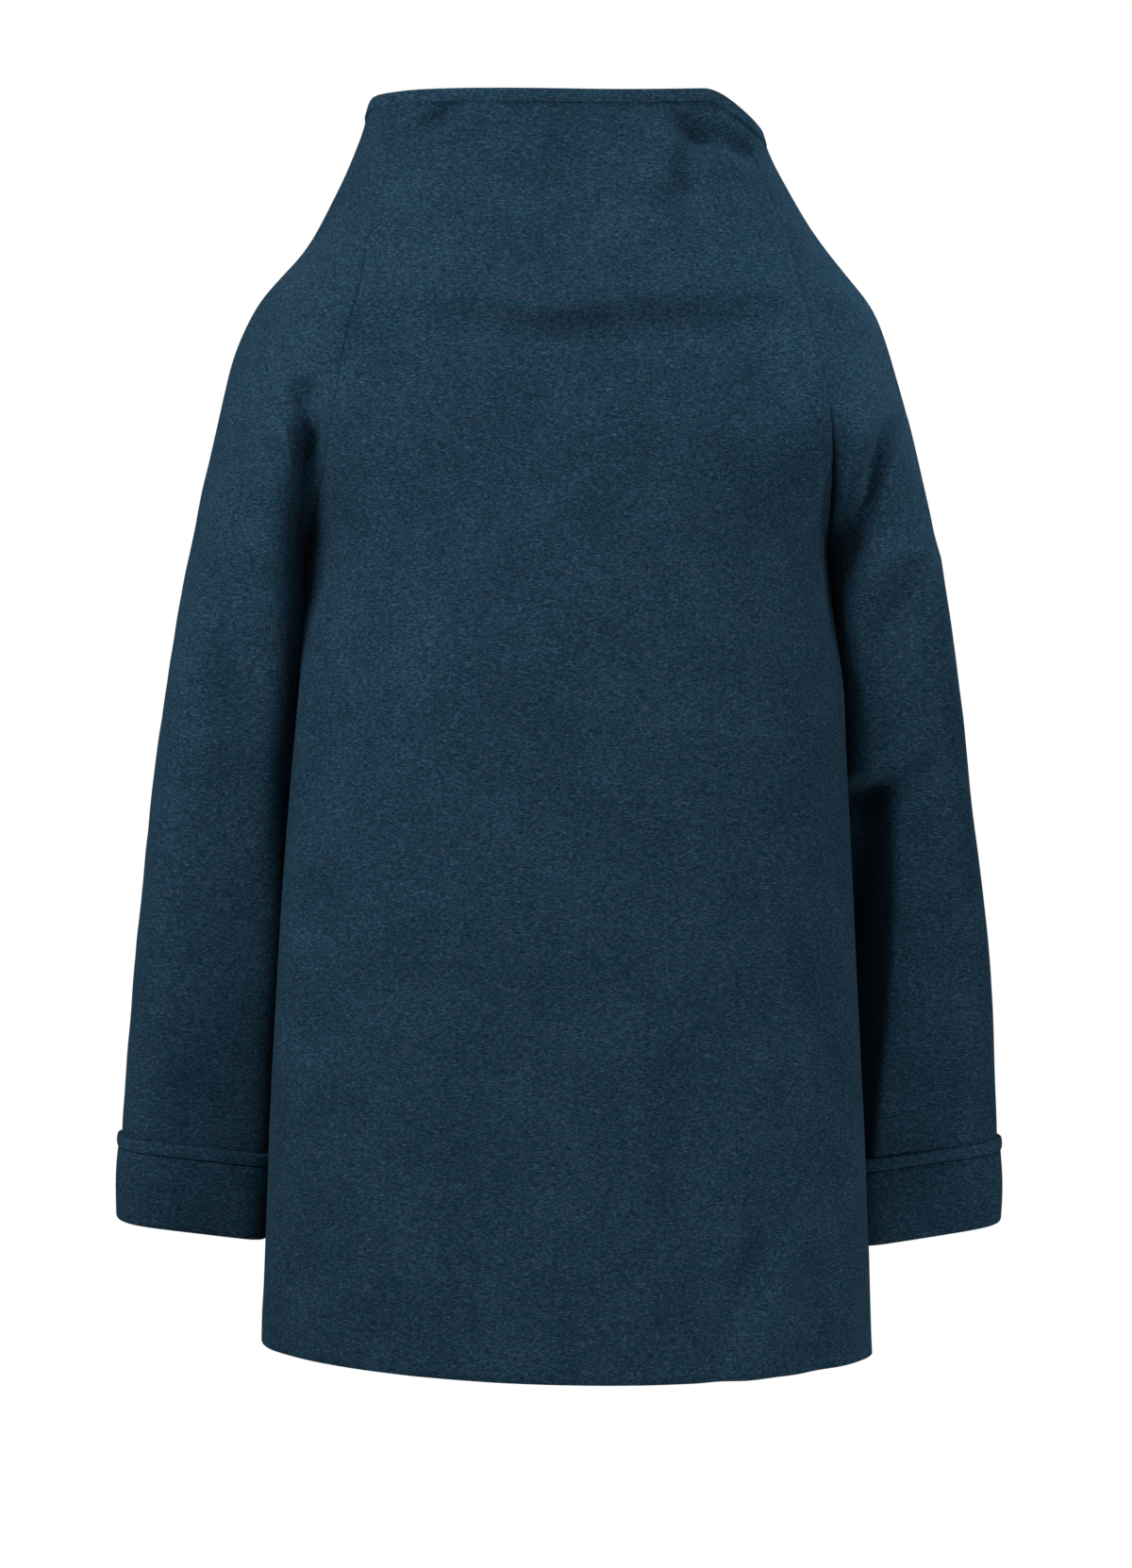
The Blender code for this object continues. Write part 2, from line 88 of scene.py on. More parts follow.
def setLight(rig):
    world = bpy.data.worlds.new("studio")
    world.use_nodes = True
    sky = world.node_tree.nodes["Background"]
    sky.inputs["Color"].default_value = (1.0, 1.0, 1.0, 1.0)
    sky.inputs["Strength"].default_value = rig["world"]
    scene.world = world
    for number, (place, aim, size, watts, spread) in enumerate(rig["lamps"]):
        lamp = bpy.data.lights.new("lamp%d" % number, "AREA")
        lamp.shape = "DISK"
        lamp.size = size
        lamp.energy = watts
        lamp.spread = math.radians(spread)
        holder = bpy.data.objects.new("lamp%d" % number, lamp)
        holder.location = place
        holder.rotation_euler = (Vector(aim) - Vector(place)).to_track_quat("-Z", "Y").to_euler()
        scene.collection.objects.link(holder)
    reach = rig["floorReach"]
    corners = [(x * reach, y * reach, rig["floor"]) for x, y in ((-1, -1), (1, -1), (1, 1), (-1, 1))]
    mesh = bpy.data.meshes.new("floor")
    mesh.from_pydata(corners, [], [(0, 1, 2, 3)])
    floor = bpy.data.objects.new("floor", mesh)
    paint = bpy.data.materials.new("floor paint")
    paint.use_nodes = True
    shader = paint.node_tree.nodes["Principled BSDF"]
    shader.inputs["Base Color"].default_value = rig["floorPaint"]
    shader.inputs["Roughness"].default_value = rig["floorRoughness"]
    mesh.materials.append(paint)
    scene.collection.objects.link(floor)


setCamera(cameraRig)
setLight(lightRig)
scene.view_settings.view_transform = "Standard"
scene.view_settings.look = "None"
print("camera, light and floor set")

# Shader nodes


class Wire:              # a socket that takes part in sums
    def __init__(self, tree, socket):
        self.tree = tree
        self.socket = socket

    def sum(self, operation, first, second):
        maths = self.tree.nodes.new("ShaderNodeMath")
        maths.operation = operation
        for socket, value in zip(maths.inputs, (first, second)):
            plug(self.tree, value, socket)
        return Wire(self.tree, maths.outputs[0])

    def __add__(self, other):
        return self.sum("ADD", self, other)

    def __radd__(self, other):
        return self.sum("ADD", other, self)

    def __sub__(self, other):
        return self.sum("SUBTRACT", self, other)

    def __rsub__(self, other):
        return self.sum("SUBTRACT", other, self)

    def __mul__(self, other):
        return self.sum("MULTIPLY", self, other)

    def __rmul__(self, other):
        return self.sum("MULTIPLY", other, self)


def plug(tree, value, socket):
    if isinstance(value, Wire):
        tree.links.new(value.socket, socket)
    else:
        socket.default_value = value


class Cloth:             # a material being made
    def __init__(self, name):
        self.material = bpy.data.materials.new(name)
        self.material.use_nodes = True
        self.tree = self.material.node_tree
        self.shader = self.tree.nodes["Principled BSDF"]

    def add(self, kind, settings, sockets, out=0):
        node = self.tree.nodes.new("ShaderNode" + kind)
        for name, value in settings.items():
            setattr(node, name, value)
        for name, value in sockets.items():
            plug(self.tree, value, node.inputs[name])
        return Wire(self.tree, node.outputs[out])

    def feed(self, name, value):
        plug(self.tree, value, self.shader.inputs[name])


woolFinish = {
    "deep": (0.0018, 0.0057, 0.0101, 1.0),   # between the fibres
    "mid": (0.0045, 0.0127, 0.0215, 1.0),
    "light": (0.0126, 0.0298, 0.0464, 1.0),  # fibres that stand up
    "fleck": (0.0420, 0.0720, 0.0900, 1.0),
    "fibre": (380.0, 380.0, 1050.0),         # fibres to the metre, lying across
    "fine": (820.0, 820.0, 1600.0),
    "dye": (800.0, 800.0, 1500.0),
    "teal": (0.52, 1.06, 1.03, 1.0),         # dyed fibres differ a little in hue
    "plum": (1.58, 0.95, 0.97, 1.0),
    "dyeSharp": 4.0,
    "dyeShift": 1.5,
    "cloud": 26.0,
    "cloudShare": 0.35,
    "fibreShare": 0.62,
    "fineShare": 0.38,
    "contrast": 3.4,
    "strayFrom": 0.42,                       # single pale fibres
    "straySharp": 22.0,
    "strayShare": 0.5,
    "stripPaintedLight": 1.08,                       # the folded strips are painted a little paler: painted light where they stand proud and catch the lamps
    "roughness": 0.93,
    "sheen": 0.02,
    "sheenRoughness": 0.45,
    "sheenTint": (0.30, 0.52, 0.68, 1.0),
    "bump": 0.55,
    "bumpDepth": 0.0007,
}


# lift scales every colour; above 1 it paints light in, making a paler lit copy of the wool
def feltedWool(name, finish, lift=1.0):
    cloth = Cloth(name)
    place = cloth.add("TexCoord", {}, {}, "Object")
    lying = cloth.add("VectorMath", {"operation": "MULTIPLY"}, {0: place, 1: finish["fibre"]}, "Vector")
    close = cloth.add("VectorMath", {"operation": "MULTIPLY"}, {0: place, 1: finish["fine"]}, "Vector")
    fibre = cloth.add("TexNoise", {}, {"Vector": lying, "Scale": 1.0, "Detail": 3.0, "Roughness": 0.6,
                                       "Distortion": 0.6}, "Fac")
    fine = cloth.add("TexNoise", {}, {"Vector": close, "Scale": 1.0, "Detail": 2.0, "Roughness": 0.55}, "Fac")
    cloud = cloth.add("TexNoise", {}, {"Vector": place, "Scale": finish["cloud"], "Detail": 3.0}, "Fac")
    nap = finish["fibreShare"] * fibre + finish["fineShare"] * fine
    tone = 0.5 + (nap - 0.5) * finish["contrast"] + (cloud - 0.5) * finish["cloudShare"]
    depth = cloth.add("Clamp", {}, {"Value": tone})
    low = cloth.add("Mix", {"data_type": "RGBA"}, {"Factor": cloth.add("Clamp", {}, {"Value": depth * 2.0}),
                                                   6: scaled(finish["deep"], lift),
                                                   7: scaled(finish["mid"], lift)}, 2)
    high = cloth.add("Clamp", {}, {"Value": depth * 2.0 - 1.0})
    colour = cloth.add("Mix", {"data_type": "RGBA"}, {"Factor": high, 6: low,
                                                      7: scaled(finish["light"], lift)}, 2)
    stray = cloth.add("Clamp", {}, {"Value": (fine * fibre - finish["strayFrom"]) * finish["straySharp"]})
    colour = cloth.add("Mix", {"data_type": "RGBA"}, {"Factor": stray * finish["strayShare"], 6: colour,
                                                      7: finish["fleck"]}, 2)
    strand = cloth.add("VectorMath", {"operation": "MULTIPLY"}, {0: place, 1: finish["dye"]}, "Vector")
    dye = cloth.add("TexNoise", {}, {"Vector": strand, "Scale": 1.0, "Detail": 1.0}, "Fac")
    turn = cloth.add("Clamp", {}, {"Value": dye * finish["dyeSharp"] - finish["dyeShift"]})
    hue = cloth.add("Mix", {"data_type": "RGBA"}, {"Factor": turn, 6: finish["teal"], 7: finish["plum"]}, 2)
    colour = cloth.add("Mix", {"data_type": "RGBA", "blend_type": "MULTIPLY"},
                       {"Factor": 1.0, 6: colour, 7: hue}, 2)
    cloth.feed("Base Color", colour)
    cloth.feed("Roughness", finish["roughness"])
    cloth.feed("Sheen Weight", finish["sheen"])
    cloth.feed("Sheen Roughness", finish["sheenRoughness"])
    cloth.feed("Sheen Tint", finish["sheenTint"])
    cloth.feed("Specular IOR Level", 0.0)
    cloth.feed("Normal", cloth.add("Bump", {}, {"Strength": finish["bump"], "Distance": finish["bumpDepth"],
                                                "Height": nap}, "Normal"))
    return cloth.material


def scaled(colour, lift):
    return tuple(channel * lift for channel in colour[:3]) + (1.0,)


wool = feltedWool("felted wool", woolFinish)
# the strips' wool is the same cloth painted paler: painted light on the raised strips
stripWoolPaintedLit = feltedWool("edge strip wool", woolFinish, woolFinish["stripPaintedLight"])
print("wool made")

# Form of the coat: level sections and how it hangs

coatForm = {
    "rim": 0.119,
    "hem": -0.694,
    "underarm": -0.175,
    "notchTop": -0.078,      # the raglan seam starts to sink between body and arm
    "cuffEnd": -0.618,
    "rimLeftRise": 0.0025,   # slowly up to the left
    "rimRightRise": 0.010,   # up to the right back corner
    "rimRightFall": 0.027,   # and down round it
    "rimCorner": (0.62, 1.05),
    "rimFrontDrop": 0.034,
    "hemTilt": 0.024,
    "hemSideRise": 0.010,
    "hemTiltTop": -0.250,
    "armForward": 0.034,
    "cuffTilt": {left: 0.138, right: 0.195},
    "cuffRise": {left: 0.0, right: 0.0016},
    "armLean": -0.0015,      # the cuffs hang to the left
    "rightIn": (0.0052, -0.255, 0.100),      # the right sleeve is slimmer above the elbow
    "armParting": 0.010,
    "foldBack": 0.022,       # the sleeve's outer fold lies nearer the back
    "flatBack": 1.3,         # the back of the arm hangs flatter than a round tube
    "flatBackRun": (-0.120, 0.100),
    "innerIn": {             # the sleeves lie closer to the body: by, from, full, fading, to
        left: (0.0045, -0.180, -0.230, -0.540, -0.620),
        right: (0.0080, -0.320, -0.360, -0.520, -0.580),
    },
    "sideBack": 0.055,       # the body's widest line lies behind the arms
    "sideBackRun": 0.100,
    "power": 2.6,            # superellipse of collar and shoulders
    "torsoFull": 0.62,
    "tuckedFull": 0.30,
    "broadFull": 0.74,
    "shoulderFull": 0.60,
    "cornerFull": 0.94,      # the collar's left back corner is folded sharper
    "cornerRun": (0.030, 0.105),
    "loopFull": 4.0 / 3.0,
    "notchDeepen": 1.9,
    "notchOpen": 0.85,
    "armTuck": 0.0018,       # the sleeve runs in under the body at the underarm
    "armTuckRun": 0.022,
    "seamLap": 0.0004,       # the sleeve's sewn edge lies this far under the body's
    "seamSink": 0.00012,
    "sideSink": 0.0003,
    "strip": 0.008,
    "wall": 0.0025,
    "seam": 0.0003,
}

yokeTable = {                # from the rim to the underarm
    "z": [0.119, 0.095, 0.068, 0.043, 0.019, -0.006, -0.031, -0.056, -0.081, -0.118, -0.175],
    "outer": [0.1290, 0.1365, 0.1480, 0.1615, 0.1770, 0.1985, 0.2115, 0.2200, 0.2265, 0.2360, 0.2470],
    "back": [0.0880, 0.0920, 0.0990, 0.1070, 0.1140, 0.1190, 0.1230, 0.1275, 0.1310, 0.1340, 0.1370],
    "front": [0.092, 0.096, 0.101, 0.106, 0.111, 0.116, 0.119, 0.122, 0.127, 0.133, 0.139],
    "seam": [0.1120, 0.1180, 0.1225, 0.1300, 0.1360, 0.1405, 0.1470, 0.1525, 0.1570, 0.1625, 0.1720],
}

bodyTable = {                # from the underarm to the hem
    "z": [-0.175, -0.242, -0.304, -0.366, -0.428, -0.552, -0.694],
    "left": [0.172, 0.176, 0.181, 0.186, 0.190, 0.196, 0.201],
    "right": [0.172, 0.1745, 0.1765, 0.1795, 0.1823, 0.1879, 0.1923],
    "back": [0.1370, 0.1390, 0.1405, 0.1420, 0.1440, 0.1490, 0.1560],
    "front": [0.1390, 0.1400, 0.1405, 0.1415, 0.1430, 0.1480, 0.1550],
}

sleeveTable = {              # from the underarm to the cuff
    "z": [-0.175, -0.208, -0.242, -0.304, -0.366, -0.428, -0.490, -0.552, -0.640],
    "outer": [0.2470, 0.2525, 0.2575, 0.2660, 0.2735, 0.2792, 0.2837, 0.2877, 0.2900],
    "inner": [0.1720, 0.1731, 0.1742, 0.1775, 0.1820, 0.1860, 0.1890, 0.1920, 0.1965],
    "depth": [0.0785, 0.0770, 0.0755, 0.0725, 0.0700, 0.0675, 0.0635, 0.0580, 0.0520],
}

lapTable = {                 # reach of a front's free edge past the centre
    "z": [0.119, 0.019, -0.175, -0.694],
    "reach": [0.058, 0.066, 0.078, 0.088],
}


def smooth(value, low, high):
    share = np.clip((value - low) / (high - low), 0.0, 1.0)
    return share * share * (3.0 - 2.0 * share)


def naturalCurve(knots, values):     # second slopes of the cubic through the rows
    count = len(knots)
    gaps = np.diff(knots)
    system = np.eye(count)
    bend = np.zeros(count)
    for i in range(1, count - 1):
        system[i, i - 1:i + 2] = gaps[i - 1], 2.0 * (gaps[i - 1] + gaps[i]), gaps[i]
        bend[i] = 6.0 * ((values[i + 1] - values[i]) / gaps[i] - (values[i] - values[i - 1]) / gaps[i - 1])
    return np.linalg.solve(system, bend)


def tableReader(table):
    heights = np.array(table["z"])[::-1]
    data = {name: np.array(column)[::-1] for name, column in table.items()}
    slopes = {name: naturalCurve(heights, data[name]) for name in table}

    def read(name, z):
        place = min(max(z, heights[0]), heights[-1])
        i = min(max(int(np.searchsorted(heights, place, side="right")) - 1, 0), len(heights) - 2)
        gap = heights[i + 1] - heights[i]
        low = (heights[i + 1] - place) / gap
        high = 1.0 - low
        curve = (low ** 3 - low) * slopes[name][i] + (high ** 3 - high) * slopes[name][i + 1]
        return low * data[name][i] + high * data[name][i + 1] + curve * gap * gap / 6.0

    return read


yoke = tableReader(yokeTable)
body = tableReader(bodyTable)
sleeve = tableReader(sleeveTable)
lap = tableReader(lapTable)


def bezier(corners, places):
    t = np.asarray(places)[:, None]
    first, second, third, last = (np.array(corner) for corner in corners)
    rest = 1.0 - t
    return rest ** 3 * first + 3 * rest ** 2 * t * second + 3 * rest * t ** 2 * third + t ** 3 * last


def halfName(half):
    return "back" if half == behind else "front"


def raglan(z, half):         # seam point and the cloth's turns on both of its sides
    form = coatForm
    width = yoke("outer", z)
    depth = yoke(halfName(half), z)
    x = yoke("seam", z)
    across = x / width
    share = (1.0 - across ** form["power"]) ** (1.0 / form["power"])
    turn = math.atan(depth / width * (across / share) ** (form["power"] - 1.0))
    sunk = min(max((form["notchTop"] - z) / (form["notchTop"] - form["underarm"]), 0.0), 1.0)
    opened = sunk ** form["notchOpen"]
    quarter = math.pi / 2
    return {"x": x, "depth": depth * share * (1.0 - sunk ** form["notchDeepen"]), "turn": turn,
            "bodyTurn": turn + (quarter - turn) * opened, "armTurn": turn - (quarter + turn) * opened,
            "opened": opened}


def armLow(z):
    return max((coatForm["underarm"] - z) / (coatForm["underarm"] - coatForm["cuffEnd"]), 0.0)


def armFore(z):
    return coatForm["armForward"] * armLow(z)


def sideBack(z):
    return float(smooth(coatForm["underarm"] - z, 0.0, coatForm["sideBackRun"]))


def torsoArc(z, half, side):     # from the centre to a side's seam, as x and depth
    form = coatForm
    if z > form["underarm"]:
        depth = yoke(halfName(half), z)
        seam = raglan(z, half)
        x, seamDepth, turn = seam["x"], seam["depth"], seam["bodyTurn"]
    else:
        depth = body(halfName(half), z)
        x = body("left" if side == left else "right", z)
        seamDepth, turn = -half * form["sideBack"] * sideBack(z), math.pi / 2
    run = (depth - seamDepth) / math.sin(turn)
    corner = np.array((x - run * math.cos(turn), depth))
    start = np.array((0.0, depth))
    end = np.array((x, seamDepth))
    tucked = sideBack(z) if half == before else 0.0
    centreFull = form["torsoFull"] + (form["broadFull"] - form["torsoFull"]) * tucked
    sideFull = form["torsoFull"] + (form["tuckedFull"] - form["torsoFull"]) * tucked
    return start, start + centreFull * (corner - start), end + sideFull * (corner - end), end


def sleeveArc(z, half, side):    # from the seam to the outermost line, as x and depth
    form = coatForm
    fore = half * armFore(z)
    most, middle, run = form["rightIn"]
    slim = most * math.exp(-((z - middle) / run) ** 2) if side == right else 0.0
    tuck = form["armTuck"] * math.exp(-((form["underarm"] - z) / form["armTuckRun"]) ** 2)
    if z <= form["underarm"]:
        reach = form["loopFull"] * sleeve("depth", z)
        parting = math.exp(-(form["underarm"] - z) / form["armParting"])
        closer, top, full, fade, foot = form["innerIn"][side]
        tuck += closer * float(smooth(-z, -top, -full) * (1.0 - smooth(-z, -fade, -foot)))
        start = np.array((sleeve("inner", z) + form["seam"] * parting - tuck, fore))
        turned = -half * form["foldBack"] * armLow(z)
        end = np.array((sleeve("outer", z) - slim, fore + turned))
        return start, start + (0.0, reach), end + (0.0, reach - turned * form["loopFull"]), end
    width = yoke("outer", z)
    seam = raglan(z, half)
    heading = np.array((math.cos(seam["armTurn"]), -math.sin(seam["armTurn"])))
    start = np.array((seam["x"] - tuck, seam["depth"]))
    end = np.array((width - slim, fore))
    closed = form["loopFull"] * (sleeve("depth", form["underarm"]) - (seam["depth"] - fore) / 2.0)
    full = form["shoulderFull"]
    if side == left and half == behind:
        full += (form["cornerFull"] - full) * float(smooth(z, *form["cornerRun"]))
    run = full * (width - seam["x"]) / math.cos(seam["turn"])
    fall = full * (seam["depth"] - math.tan(seam["turn"]) * (width - seam["x"]) - fore)
    first = run + (closed - run) * seam["opened"]
    second = max(fall, 0.0) + (closed - max(fall, 0.0)) * seam["opened"]
    return start, start + first * heading, end + (0.0, second), end


def seamShift(z, half):      # half the seam's clearance, from the body to the sleeve
    if z > coatForm["underarm"]:
        seam = raglan(z, half)
        middle = (seam["bodyTurn"] + seam["armTurn"]) / 2.0
        return np.array((math.cos(middle), -math.sin(middle))) * coatForm["seam"] / 2.0
    return np.array((coatForm["seam"] / 2.0, 0.0))


def seamLap(z, half):        # from the seam to the sleeve's edge, under the body's
    seam = raglan(z, half)
    middle = (seam["bodyTurn"] + seam["armTurn"]) / 2.0
    along = np.array((math.cos(middle), -math.sin(middle)))
    inward = np.array((-math.sin(middle), -math.cos(middle)))
    return inward * coatForm["seamSink"] - along * coatForm["seamLap"]


def hang(points, sideRise=0.0):      # run of rim and hem
    form = coatForm
    x, y, z = points[..., 0], points[..., 1], points[..., 2]
    lift = np.clip(z / (form["rim"] - form["strip"]), 0.0, 1.0) ** 2
    across = np.clip(x / yoke("outer", form["rim"]), -1.0, 1.0)
    toRight = form["rimRightRise"] * across ** 2 - form["rimRightFall"] * smooth(across, *form["rimCorner"])
    rise = np.where(x > 0.0, toRight, form["rimLeftRise"] * across ** 2)
    fore = form["rimFrontDrop"] * smooth(y, 0.0, yoke("front", form["rim"]))
    low = np.clip((form["hemTiltTop"] - z) / (form["hemTiltTop"] - form["hem"]), 0.0, 1.0)
    arch = sideRise * (x / body("left", form["hem"])) ** 2
    points[..., 2] = z + lift * (rise - fore) + low * (arch - form["hemTilt"] * x)
    return points


def level(flat, side, half, z):
    return np.column_stack((side * flat[:, 0], half * flat[:, 1], np.full(len(flat), z)))


def torsoRow(z, half, side, places):
    flat = bezier(torsoArc(z, half, side), places)
    atSeam = np.asarray(places) >= 1.0
    if z >= coatForm["underarm"]:
        flat[atSeam] -= seamShift(z, half)
    if z <= coatForm["underarm"]:
        flat[atSeam, 1] += coatForm["seam"] / 2.0
        if half == before:                   # a front's side edge lies under the back's
            flat[atSeam] -= (coatForm["sideSink"], coatForm["seam"] + coatForm["seamLap"])
    return level(flat, side, half, z)


def sleeveRow(z, side, spans):
    places = np.linspace(0.0, 1.0, spans + 1)
    halves = []
    for half in (behind, before):
        flat = bezier(sleeveArc(z, half, side), places)
        if half == behind:
            chord = np.interp(flat[:, 0], flat[[0, -1], 0], flat[[0, -1], 1])
            most = max((flat[:, 1] - chord).max(), 1e-6)
            bulge = np.clip((flat[:, 1] - chord) / most, 0.0, 1.0)
            fade = 1.0 - float(smooth(z - coatForm["underarm"], *coatForm["flatBackRun"]))
            if fade > 0.0:
                flat[:, 1] = chord + most * (1.0 - (1.0 - bulge) ** (1.0 + coatForm["flatBack"] * fade))
        if z >= coatForm["underarm"]:
            flat[0] += seamLap(z, half)
        halves.append(level(flat, side, half, z))
    return np.vstack((halves[0], halves[1][-2::-1]))


def sleeveRows(heights, side, spans):
    points = np.array([sleeveRow(z, side, spans) for z in heights])
    for row, z in zip(points, heights):
        middle = (row[:, 0].max() + row[:, 0].min()) / 2.0
        row[:, 2] += coatForm["cuffTilt"][side] * armLow(z) * side * (row[:, 0] - middle)
        row[:, 2] += coatForm["cuffRise"][side] * armLow(z)
        row[:, 0] += coatForm["armLean"] * armLow(z)
    return hang(points)


def panelTop():              # the panels end just below the rim's strip
    return coatForm["rim"] - coatForm["strip"] - coatForm["seam"]


def spread(low, high, step):
    return list(np.linspace(low, high, max(int(round((high - low) / step)), 1) + 1))


def gridNormals(points, outward, closed=0):
    along = np.gradient(points, axis=1)
    for row in range(closed):
        along[row, 0] = along[row, -1] = (points[row, 1] - points[row, -2]) / 2.0
    normals = np.cross(along, np.gradient(points, axis=0)) * outward
    return normals / np.linalg.norm(normals, axis=-1)[..., None]


# Soft shaping of the cloth

clothLie = {
    "waves": 0.0011,         # slow unevenness of hung wool
    "waveSize": 0.150,
    "ripples": 0.00035,
    "rippleSize": 0.045,
    "sink": (0.3, 1.0, 0.3), # creases sink mostly front to back
    "deepFold": 0.030,       # folds deeper than this go straight in
    "stillRun": 0.030,
    "heldRun": 0.004,
    "seamDip": 0.0006,       # cloth drawn in at a sewn seam
    "seamWidth": 0.0030,
    "pucker": 0.30,          # how uneven that is along the seam
    "puckerTurns": (420.0, 90.0),
    "sewnRows": 12.0,        # a seam takes hold over this many rows
    "armGap": (0.006, 0.040),
    "facing": (0.0, 0.45),   # how far round the side a crease still shows
    "deepFacing": (-0.5, 0.1),
    "thinEdge": 0.6,         # the wall is thinner at a sewn edge
    "thinRun": 0.004,
    "nose": 0.0011,          # rounds the lower edge
}

creaseColumns = ("x0", "z0", "x1", "z1", "bow", "width", "depth", "lip", "steep")

creaseRun = {
    "opens": (-0.15, 0.30),  # shares of its length
    "closes": (0.70, 1.15),
    "opensSharp": (-0.008, 0.011),           # metres, for a fold with a steepness
    "uneven": (0.25, 9.0, 90.0),
    "lipPlace": 1.8,         # in widths of the trough
    "lipWidth": 1.3,
}


def wander(points, size, seed):      # slow unevenness from a few crossing waves
    chance = np.random.default_rng(seed)
    total = np.zeros(points.shape[:-1])
    for number in range(9):
        heading = chance.normal(size=3)
        heading *= chance.uniform(0.6, 1.5) / np.linalg.norm(heading)
        total += np.sin(points @ heading * (2.0 * math.pi / size) + chance.uniform(0.0, 6.3))
    return total / 3.0


def creaseDepth(points, crease):     # trough between two points, with a lip on one side
    row = dict(zip(creaseColumns, crease))
    start = np.array((row["x0"], row["z0"]))
    along = np.array((row["x1"], row["z1"])) - start
    length = np.linalg.norm(along)
    flat = points[..., (0, 2)] - start
    share = flat @ along / length ** 2
    gap = (flat[..., 0] * along[1] - flat[..., 1] * along[0]) / length
    gap = gap - row["bow"] * 4.0 * share * (1.0 - share)
    steep = row.get("steep", 0)      # a fold with a steepness starts suddenly
    opens = smooth(share * length, *creaseRun["opensSharp"]) if steep else smooth(share, *creaseRun["opens"])
    fade = opens * (1.0 - smooth(share, *creaseRun["closes"]))
    most, turns, shift = creaseRun["uneven"]
    uneven = 1.0 + most * np.sin(share * turns + row["x0"] * shift)
    trough = row["depth"] * np.exp(-np.abs(gap / row["width"]) ** (steep or 2))
    ridge = row["lip"] * np.exp(-((gap / row["width"] - creaseRun["lipPlace"]) / creaseRun["lipWidth"]) ** 2)
    return (trough - ridge) * fade * uneven


def lay(points, outward, seed, creases, edges, closed=0):
    normals = gridNormals(points, outward, closed)
    heading = normals * clothLie["sink"]
    heading /= np.linalg.norm(heading, axis=-1)[..., None]
    wave = clothLie["waves"] * wander(points, clothLie["waveSize"], seed)
    wave += clothLie["ripples"] * wander(points, clothLie["rippleSize"], seed + 50)
    sunk = np.zeros(points.shape[:2])
    deep = np.zeros(points.shape)
    depthColumn = creaseColumns.index("depth")
    for half, rows in creases.items():
        facing = smooth(half * normals[..., 1], *clothLie["facing"])
        beside = smooth(half * normals[..., 1], *clothLie["deepFacing"])
        for crease in rows:
            if crease[depthColumn] > clothLie["deepFold"]:
                deep[..., 1] -= half * creaseDepth(points, crease) * beside
            else:
                sunk += creaseDepth(points, crease) * facing
    still = np.ones(points.shape[:2])        # waves die out before a seam
    held = np.ones(points.shape[:2])         # creases run on close to it
    dip = np.zeros(points.shape[:2])
    height = points[..., 2]
    fromArm = smooth(np.abs(height - coatForm["underarm"]), *clothLie["armGap"])
    upTurns, acrossTurns = clothLie["puckerTurns"]
    for column, first in edges:              # an edge's column and its first sewn row
        gap = np.linalg.norm(points - points[:, [column]], axis=-1)
        sewn = smooth(np.arange(len(points)), first - clothLie["sewnRows"], first)[:, None] if first else 1.0
        still = np.minimum(still, smooth(gap, 0.0, clothLie["stillRun"]))
        held = np.minimum(held, 1.0 - sewn * (1.0 - smooth(gap, 0.0, clothLie["heldRun"])))
        near = clothLie["seamDip"] * fromArm * np.exp(-(gap / clothLie["seamWidth"]) ** 2)
        near = near * (1.0 + clothLie["pucker"] * np.sin(height * upTurns + points[..., 0] * acrossTurns))
        near[:first] = 0.0
        dip = np.maximum(dip, near)
    return points + deep + normals * (wave * still - dip)[..., None] - heading * (sunk * held)[..., None]


def makeMesh(name, points, faces, material):
    mesh = bpy.data.meshes.new(name)
    mesh.from_pydata([tuple(p) for p in points], [], faces)
    mesh.validate()
    mesh.shade_smooth()
    mesh.materials.append(material)
    piece = bpy.data.objects.new(name, mesh)
    scene.collection.objects.link(piece)
    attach(piece, "root")
    return piece


def shell(name, outer, outward, material, closed=0, thin=()):
    rows, columns = outer.shape[:2]
    normals = gridNormals(outer, outward, closed)
    wall = np.full((rows, columns), coatForm["wall"])
    for column in thin:
        gap = np.linalg.norm(outer - outer[:, [column]], axis=-1)
        wall *= 1.0 - clothLie["thinEdge"] * np.exp(-(gap / clothLie["thinRun"]) ** 2)
    inner = outer - normals * wall[..., None]
    down = outer[0] - outer[1]
    nose = (outer[0] + inner[0]) / 2.0 + down / np.linalg.norm(down, axis=-1)[:, None] * clothLie["nose"]
    count = rows * columns

    def spot(layer, r, c):
        if r < closed and c == columns - 1:
            c = 0
        return layer * count + r * columns + c

    faces = []
    for r in range(rows - 1):
        for c in range(columns - 1):
            quad = [(r, c), (r, c + 1), (r + 1, c + 1), (r + 1, c)]
            if outward < 0:
                quad = quad[::-1]
            faces.append([spot(0, *corner) for corner in quad])
            faces.append([spot(1, *corner) for corner in quad[::-1]])
    for c in range(columns - 1):
        here = 2 * count + c
        after = 2 * count + (0 if closed and c == columns - 2 else c + 1)
        lower = [[spot(0, 0, c), here, after, spot(0, 0, c + 1)], [here, spot(1, 0, c), spot(1, 0, c + 1), after]]
        faces += lower if outward > 0 else [quad[::-1] for quad in lower]
        r = rows - 1
        upper = [spot(0, r, c), spot(1, r, c), spot(1, r, c + 1), spot(0, r, c + 1)]
        faces.append(upper[::-1] if outward < 0 else upper)
    for r in range(max(closed - 1, 0), rows - 1):
        for c in (0, columns - 1):
            ring = [spot(0, r, c), spot(0, r + 1, c), spot(1, r + 1, c), spot(1, r, c)]
            faces.append(ring if (c == 0) == (outward > 0) else ring[::-1])
    points = np.concatenate((outer.reshape(-1, 3), inner.reshape(-1, 3), nose))
    return makeMesh(name, points, faces, material)


def dress(node):
    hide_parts(node)


# Back

